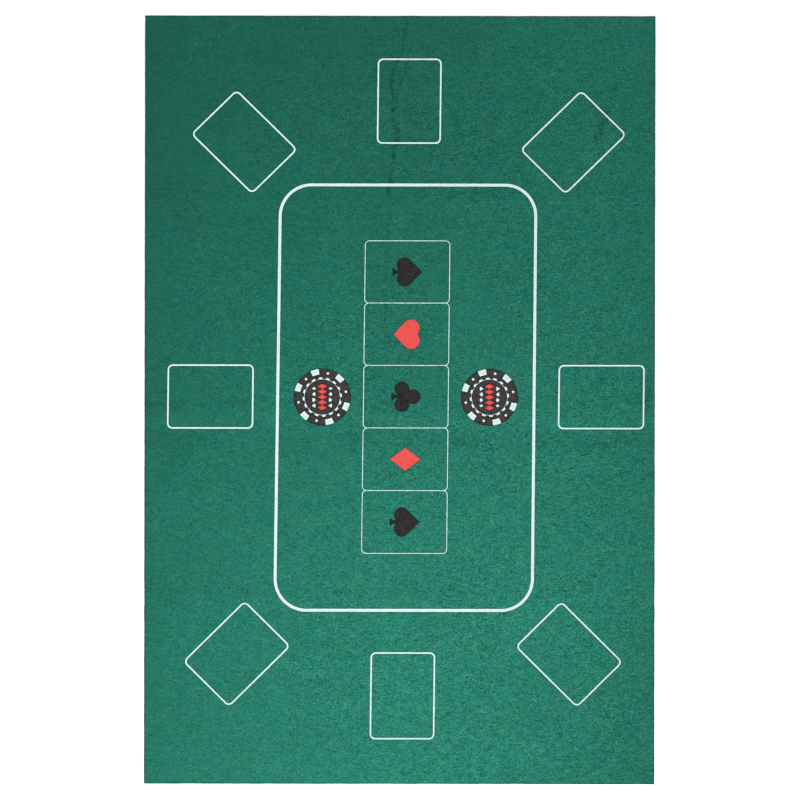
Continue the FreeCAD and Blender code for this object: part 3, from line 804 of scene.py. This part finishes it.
class Nodes:
    """A new material and short ways to add and join its nodes."""

    def __init__(self, name):
        self.material = bpy.data.materials.new(name)
        self.material.use_nodes = True
        self.tree = self.material.node_tree
        self.tree.nodes.clear()
        self.out = self.add("ShaderNodeOutputMaterial")
        self.shader = self.add("ShaderNodeBsdfPrincipled")
        self.join(self.shader.outputs["BSDF"], self.out.inputs["Surface"])

    def add(self, kind, **settings):
        """A new node with some of its settings."""
        node = self.tree.nodes.new(kind)
        for name, value in settings.items():
            setattr(node, name, value)
        return node

    def join(self, source, target):
        """Feed an input from an output, or set it to a number or colour."""
        if isinstance(source, (int, float, tuple)):
            target.default_value = source
        else:
            self.tree.links.new(source, target)

    def place(self):
        """The point's place on the flat mat, in metres."""
        return self.add("ShaderNodeAttribute", attribute_name="rest").outputs["Vector"]

    def stretched(self, vector, turn_deg, scale, shift):
        """A place turned and squeezed, for noise that is drawn out along one direction."""
        node = self.add("ShaderNodeMapping")
        self.join(vector, node.inputs["Vector"])
        node.inputs["Rotation"].default_value = (0.0, 0.0, math.radians(turn_deg))
        node.inputs["Location"].default_value = (shift, shift, shift)
        node.inputs["Scale"].default_value = scale
        return node.outputs["Vector"]

    def noise(self, vector, size_mm, detail=2.0, rough=0.5, distortion=0.0):
        """Cloudy noise, mostly between 0.3 and 0.7."""
        node = self.add("ShaderNodeTexNoise")
        self.join(vector, node.inputs["Vector"])
        node.inputs["Scale"].default_value = 1.0 / (size_mm * MM)
        node.inputs["Detail"].default_value = detail
        node.inputs["Roughness"].default_value = rough
        node.inputs["Distortion"].default_value = distortion
        return node.outputs["Fac"]

    def calc(self, a, b, kind="ADD"):
        """One step of arithmetic."""
        node = self.add("ShaderNodeMath", operation=kind)
        self.join(a, node.inputs[0])
        self.join(b, node.inputs[1])
        return node.outputs[0]

    def scaled(self, a, factor):
        """A value times a factor."""
        return self.calc(a, factor, "MULTIPLY")

    def fit(self, value, low, high, to_low=0.0, to_high=1.0):
        """A value that runs from low to high made to run between two others, and held there outside."""
        node = self.add("ShaderNodeMapRange")
        self.join(value, node.inputs["Value"])
        for name, number in (("From Min", low), ("From Max", high), ("To Min", to_low), ("To Max", to_high)):
            node.inputs[name].default_value = number
        return node.outputs["Result"]

    def mix(self, share, a, b, blend="MIX"):
        """Colour a where share is 0, and b, or a blended with b, where it is 1."""
        node = self.add("ShaderNodeMix", data_type="RGBA", blend_type=blend)
        self.join(share, node.inputs[MIX_SHARE])
        self.join(a, node.inputs[MIX_A])
        self.join(b, node.inputs[MIX_B])
        return node.outputs[MIX_RESULT]

    def times(self, a, b):
        """A colour times a colour."""
        return self.mix(1.0, a, b, "MULTIPLY")

    def tinted(self, value, stops):
        """A colour for a value: stops are pairs of a value from 0 to 1 and its colour."""
        node = self.add("ShaderNodeValToRGB")
        self.join(value, node.inputs["Fac"])
        spots = node.color_ramp.elements
        while len(spots) < len(stops):
            spots.new(0.5)
        for spot, (where, colour) in zip(spots, stops):
            spot.position = where
            spot.color = colour
        return node.outputs["Color"]

    def attribute(self, name):
        """A number stored with the mesh's points."""
        return self.add("ShaderNodeAttribute", attribute_name=name).outputs["Fac"]

    def dimmed(self, colour, share):
        """A colour times a share of light, which may be above 1."""
        grey = self.add("ShaderNodeCombineColor")
        for channel in ("Red", "Green", "Blue"):
            self.join(share, grey.inputs[channel])
        return self.times(colour, grey.outputs[0])

    def bump(self, value, distance_mm, strength):
        """Make the surface look as if a value were its height."""
        node = self.add("ShaderNodeBump")
        node.inputs["Distance"].default_value = distance_mm * MM
        node.inputs["Strength"].default_value = strength
        self.join(value, node.inputs["Height"])
        self.join(node.outputs["Normal"], self.shader.inputs["Normal"])

    def surface(self, colour, roughness, shine):
        """Give the shader its colour, roughness and shine."""
        self.join(colour, self.shader.inputs["Base Color"])
        self.join(roughness, self.shader.inputs["Roughness"])
        self.join(shine, self.shader.inputs["Specular IOR Level"])


# Grain of the felt and of ink: its size in millimetres, then its detail, roughness and distortion.
SWIRL_GRAIN = (6.0, 1.0)
STREAK_GRAIN = (0.75, 2.0, 0.6)
HAIR_GRAIN = (1.25, 1.0, 0.5)
FINE_GRAIN = (1.35, 1.0, 0.5, 0.5)
SPECK_GRAIN = (2.7, 2.0, 0.6, 0.6)
CLUMP_GRAIN = (8.5, 3.0, 0.55, 0.8)
HUE_GRAIN = (19.0, 2.0)
STRAY_GRAIN = (2.6, 4.0, 0.7)
COVER_GRAIN = (1.9, 3.0, 0.6, 0.3)
BLOT_GRAIN = (6.0, 3.0, 0.6)
WARM_GRAIN = (4.5, 2.0, 0.6)
# How far the swirl moves a fibre, in millimetres.
SWIRL_PUSH = 2.2
# Fibres are grain that is drawn out: the ways they run in degrees, how much they are drawn out, how far
# apart their grains are taken, and the range of values that is used.
STREAK_TURNS = (18.0, 64.0, 112.0, 155.0)
STREAK_SCALE = (0.28, 1.0, 1.0)
STREAK_APART = 0.37
STREAK_RANGE = (0.80, 1.55)
HAIR_TURNS = (38.0, 128.0, 82.0)
HAIR_SCALE = (0.13, 1.0, 1.0)
HAIR_APART = 0.61
HAIR_RANGE = (0.62, 0.74)
# How much each grain counts in the felt's colour.
STREAK_SHARE = 0.45
GRAIN_SHARES = (2.2, 1.1, 0.6)
# Two sets of hairs, pale ones and dark ones: where their grain is taken, and how much it counts.
HAIR_SHARES = ((0.0, 0.35), (3.0, -0.40))
GRAIN_RANGE = (-0.6, 1.6)
HUE_RANGE = (0.3, 0.7)
STRAY_RANGE = (0.66, 0.74)
STRAY_SHARE = 0.25
# How much the coarser grains add to the height of the streaks.
RELIEF_SHARE = 0.8
# Ranges of roughness, from deep to raised felt and from thin to thick ink.
FELT_ROUGHNESS = (0.98, 0.86)
INK_ROUGHNESS = (0.75, 0.9)
FELT_SHINE = 0.08
SHEEN = {"Sheen Weight": 0.03, "Sheen Roughness": 0.5, "Sheen Tint": (0.6, 0.95, 0.85, 1.0)}
# How high the bumps seem, in millimetres, and how strong they are.
FELT_BUMP = (0.35, 0.55)
INK_BUMP = (0.25, 0.4)
# How thick the ink lies: the ranges used of two grains, and their shares.
COVER_RANGE = (0.35, 0.65)
BLOT_RANGE = (0.3, 0.7)
COVER_SHARE, BLOT_SHARE = 0.65, 0.35
COVER_ROUGH_RANGE = (0.3, 0.7)
# The threads that show through the ink.
THREAD_RANGE = (0.55, 0.95)
WARM_RANGE = (0.35, 0.65)
# How dark the felt is at the far side of the dark rim of soaked felt and painted shade, and over what depth
# it changes to ink.
SOAK_AND_SHADE_ENDS = 0.85
INK_BLEND = 0.04

PLAIN = (1.0, 1.0, 1.0, 1.0)
DEEP_GREEN = (0.0017, 0.040, 0.021, 1.0)
FELT_GREEN = (0.0114, 0.131, 0.091, 1.0)
PALE_GREEN = (0.041, 0.221, 0.163, 1.0)
FELT_STOPS = ((0.0, DEEP_GREEN), (0.5, FELT_GREEN), (1.0, PALE_GREEN))
YELLOWER = (1.18, 1.0, 0.96, 1.0)
BLUER = (0.86, 1.0, 1.04, 1.0)
STRAY_FIBRE = (0.10, 0.16, 0.11, 1.0)

# The ink's colour is multiplied by rim along its edge, over rim_wide millimetres, and by on_board where it
# lies on the board. Threads is how much the felt's fibres show through.
INK_LOOKS = {
    "white_ink": {
        "thin": (0.44, 0.52, 0.515, 1.0), "thick": (0.56, 0.62, 0.61, 1.0),
        "cool_thread": (0.27, 0.46, 0.42, 1.0), "warm_thread": (0.36, 0.48, 0.45, 1.0), "threads": 0.30,
        "rim": (1.12, 1.30, 1.30, 1.0), "rim_wide": 2.0, "on_board": (0.86, 0.96, 0.94, 1.0), "shine": 0.2,
    },
    "black_ink": {
        "thin": (0.056, 0.044, 0.040, 1.0), "thick": (0.014, 0.013, 0.013, 1.0),
        "cool_thread": (0.028, 0.054, 0.042, 1.0), "warm_thread": (0.115, 0.044, 0.045, 1.0), "threads": 0.75,
        "rim": (0.20, 0.24, 0.24, 1.0), "rim_wide": 1.4, "on_board": (0.48, 0.57, 0.57, 1.0), "shine": 0.12,
    },
    "red_ink": {
        "thin": (0.53, 0.055, 0.052, 1.0), "thick": (0.68, 0.066, 0.061, 1.0),
        "cool_thread": (0.37, 0.050, 0.042, 1.0), "warm_thread": (0.60, 0.094, 0.083, 1.0), "threads": 0.40,
        "rim": (0.92, 0.90, 0.90, 1.0), "rim_wide": 1.2, "on_board": PLAIN, "shine": 0.2,
    },
}


def bent_place(nodes):
    """The flat mat's place with a little swirl, so that straight fibres curve."""
    place = nodes.place()
    size, detail = SWIRL_GRAIN
    swirl = nodes.add("ShaderNodeTexNoise")
    nodes.join(place, swirl.inputs["Vector"])
    swirl.inputs["Scale"].default_value = 1.0 / (size * MM)
    swirl.inputs["Detail"].default_value = detail
    push = nodes.add("ShaderNodeVectorMath", operation="SCALE")
    nodes.join(swirl.outputs["Color"], push.inputs[0])
    push.inputs["Scale"].default_value = SWIRL_PUSH * MM
    bent = nodes.add("ShaderNodeVectorMath", operation="ADD")
    nodes.join(place, bent.inputs[0])
    nodes.join(push.outputs[0], bent.inputs[1])
    return bent.outputs[0]


def fibres(nodes, bent):
    """Matted fibres: short streaks that lie in many directions, about 0 to 1."""
    total = None
    for n, turn in enumerate(STREAK_TURNS):
        place = nodes.stretched(bent, turn, STREAK_SCALE, STREAK_APART * n)
        streak = nodes.noise(place, *STREAK_GRAIN)
        total = streak if total is None else nodes.calc(total, streak, "MAXIMUM" if n % 2 else "ADD")
    return nodes.fit(total, *STREAK_RANGE)


def hairs(nodes, bent, shift):
    """Single long fibres lying on the mat here and there, 0 between them and 1 on them."""
    total = None
    for n, turn in enumerate(HAIR_TURNS):
        place = nodes.stretched(bent, turn, HAIR_SCALE, shift + HAIR_APART * n)
        hair = nodes.fit(nodes.noise(place, *HAIR_GRAIN), *HAIR_RANGE)
        total = hair if total is None else nodes.calc(total, hair, "MAXIMUM")
    return total


def felt_look(nodes, place, bent, streaks):
    """The felt's colour, how its fibres stand (0 deep to 1 raised), and the height of its grain."""
    fine = nodes.noise(place, *FINE_GRAIN)
    speck = nodes.noise(place, *SPECK_GRAIN)
    clump = nodes.noise(place, *CLUMP_GRAIN)
    grain = nodes.scaled(nodes.calc(streaks, -0.5), STREAK_SHARE)
    for part, share in zip((fine, speck, clump), GRAIN_SHARES):
        grain = nodes.calc(grain, nodes.scaled(nodes.calc(part, -0.5), share))
    for shift, share in HAIR_SHARES:
        grain = nodes.calc(grain, nodes.scaled(hairs(nodes, bent, shift), share))
    grain = nodes.calc(nodes.calc(grain, nodes.attribute("nap"), "MULTIPLY"), 0.5)
    colour = nodes.tinted(nodes.fit(grain, *GRAIN_RANGE), FELT_STOPS)
    # patches a little yellower or bluer, and here and there a fibre of another colour
    hue = nodes.mix(nodes.fit(nodes.noise(place, *HUE_GRAIN), *HUE_RANGE), YELLOWER, BLUER)
    stray = nodes.fit(nodes.noise(place, *STRAY_GRAIN), *STRAY_RANGE)
    colour = nodes.mix(nodes.scaled(stray, STRAY_SHARE), nodes.times(colour, hue), STRAY_FIBRE)
    # painted light and shade: the tone attribute darkens the felt towards the far end, at the long sides,
    # along the marks and at the cut edge, on top of its own tone
    colour = nodes.dimmed(colour, nodes.attribute("tone_and_painted_light"))
    return colour, grain, nodes.calc(streaks, nodes.scaled(nodes.calc(fine, speck), RELIEF_SHARE))


def felt_material():
    """Green felt, alike on both faces."""
    nodes = Nodes("green_felt")
    place = nodes.place()
    bent = bent_place(nodes)
    colour, grain, relief = felt_look(nodes, place, bent, fibres(nodes, bent))
    nodes.surface(colour, nodes.fit(grain, 0.0, 1.0, *FELT_ROUGHNESS), FELT_SHINE)
    for name, value in SHEEN.items():
        nodes.join(value, nodes.shader.inputs[name])
    nodes.bump(relief, *FELT_BUMP)
    return nodes.material


def ink_material(name, ink):
    """Screen-printed ink on felt: the film varies a little, fibres show through it, along its rim it is
    brighter or darker than in its middle, and the felt just outside it is soaked dark, with painted shade."""
    nodes = Nodes(name)
    place = nodes.place()
    bent = bent_place(nodes)
    streaks = fibres(nodes, bent)
    cover = nodes.noise(place, *COVER_GRAIN)
    blot = nodes.fit(nodes.noise(place, *BLOT_GRAIN), *BLOT_RANGE)
    even = nodes.scaled(nodes.fit(cover, *COVER_RANGE), COVER_SHARE)
    thick = nodes.calc(even, nodes.scaled(blot, BLOT_SHARE))
    colour = nodes.mix(thick, ink["thin"], ink["thick"])
    warm = nodes.fit(nodes.noise(place, *WARM_GRAIN), *WARM_RANGE)
    thread = nodes.mix(warm, ink["cool_thread"], ink["warm_thread"])
    poking = nodes.scaled(nodes.fit(streaks, *THREAD_RANGE), ink["threads"])
    colour = nodes.mix(poking, colour, thread)
    depth = nodes.attribute("depth")
    rim = nodes.mix(nodes.fit(depth, 0.0, ink["rim_wide"]), ink["rim"], PLAIN)
    board = nodes.mix(nodes.attribute("board"), PLAIN, ink["on_board"])
    colour = nodes.times(nodes.times(colour, rim), board)
    # painted light and shade on the ink: brighter towards the far end, darker towards the right
    colour = nodes.dimmed(colour, nodes.attribute("ink_painted_light"))
    # painted shade: the felt beside the ink is darkened, partly as soaked felt, partly as the shade of felt
    # pressed round the ink
    soaked_and_shaded, _, _ = felt_look(nodes, place, bent, streaks)
    soaked_and_shaded = nodes.dimmed(soaked_and_shaded, nodes.fit(depth, -SOAK_AND_SHADE_WIDE, 0.0, SOAK_AND_SHADE_ENDS, SOAK_AND_SHADE_DIM))
    colour = nodes.mix(nodes.fit(depth, -INK_BLEND, INK_BLEND), soaked_and_shaded, colour)
    nodes.surface(colour, nodes.fit(cover, *COVER_ROUGH_RANGE, *INK_ROUGHNESS), ink["shine"])
    nodes.bump(nodes.calc(streaks, cover), *INK_BUMP)
    return nodes.material


felt = felt_material()
INKS = {name: ink_material(name, look) for name, look in INK_LOOKS.items()}
INK_OF = {"black_print": "black_ink", "red_print": "red_ink"}


# ---- building ----

# The panel whose sheet a crease strip belongs to.
PANEL_OF = {"crease_12": "panel_1", "crease_23": "panel_2", "crease_34": "panel_4"}


def across_fold(piece):
    """Bake a piece's placement into its points."""
    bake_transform(piece)


def cad_kinds(band):
    """The kinds of figure that the CAD has on a band."""
    ending = f"_{band}_right"
    return sorted(name[: -len(ending)] for name in frame["nodes"] if name.endswith(ending))


printed = draw_print()
sheets = {}
others = {}
for band, (low, high) in BANDS.items():
    cloth = felt_band(f"felt_{band}", low, high, felt)
    across_fold(cloth)
    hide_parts(*[f"felt_{band}_{side}" for side in SIDES])
    home = PANEL_OF.get(band, band)
    extras = others.setdefault(home, [])
    if home == band:
        sheets[band] = cloth
    else:
        extras.append(cloth)
        for end, line, way in (("far", high, 1), ("near", low, -1)):
            bead = fold_bead(f"fold_bead_{band}_{end}", line, way, felt)
            across_fold(bead)
            extras.append(bead)
    for kind in cad_kinds(band):
        if kind == "felt":
            continue
        slot = INK_OF.get(kind, "white_ink")
        film = ink_piece(f"{kind}_{band}", printed, kind, low, high, INKS[slot])
        across_fold(film)
        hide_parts(*[f"{kind}_{band}_{side}" for side in SIDES])
        extras.append(film)

for band, cloth in sheets.items():
    low, high = BANDS[band]


# ---- floor and light ----

TABLE_HALF_M = 4.0
# The table lies this far under the felt, so that the two don't share a plane.
TABLE_DROP_M = 0.00005
TABLE_CORNERS = ((-1, -1), (1, -1), (1, 1), (-1, 1))
TABLE_GRAIN = (60.0, 3.0)
TABLE_RANGE = (0.3, 0.7)
TABLE_WHITES = ((0.96, 0.96, 0.96, 1.0), (0.98, 0.98, 0.98, 1.0))
TABLE_ROUGHNESS = 0.9
TABLE_SHINE = 0.1
WORLD_STRENGTH = 0.95
SOFTBOX_PLACE_M = (0.12, -0.33, 0.70)
SOFTBOX_SIZE_M = 0.4
SOFTBOX_POWER = 4.35


def floor():
    """The white table that the mat lies on."""
    mesh = bpy.data.meshes.new("table")
    corners = [(x * TABLE_HALF_M, y * TABLE_HALF_M, -TABLE_DROP_M) for x, y in TABLE_CORNERS]
    mesh.from_pydata(corners, [], [(0, 1, 2, 3)])
    piece = bpy.data.objects.new("table", mesh)
    SCENE.collection.objects.link(piece)
    nodes = Nodes("pale_table")
    grain = nodes.noise(nodes.add("ShaderNodeTexCoord").outputs["Object"], *TABLE_GRAIN)
    colour = nodes.mix(nodes.fit(grain, *TABLE_RANGE), *TABLE_WHITES)
    nodes.surface(colour, TABLE_ROUGHNESS, TABLE_SHINE)
    mesh.materials.append(nodes.material)
    piece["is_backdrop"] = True


def softbox():
    """A soft lamp above the near right part of the mat."""
    data = bpy.data.lights.new("softbox", "AREA")
    data.shape = "RECTANGLE"
    data.size = SOFTBOX_SIZE_M
    data.size_y = SOFTBOX_SIZE_M
    data.energy = SOFTBOX_POWER
    lamp = bpy.data.objects.new("softbox", data)
    lamp.location = SOFTBOX_PLACE_M
    lamp.visible_camera = False
    SCENE.collection.objects.link(lamp)


def light():
    """Even white light from all round, and the softbox."""
    world = bpy.data.worlds.new("studio")
    world.use_nodes = True
    back = world.node_tree.nodes["Background"]
    back.inputs["Color"].default_value = PLAIN
    back.inputs["Strength"].default_value = WORLD_STRENGTH
    SCENE.world = world
    softbox()


floor()
light()
SCENE.view_settings.view_transform = "Standard"

low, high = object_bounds()
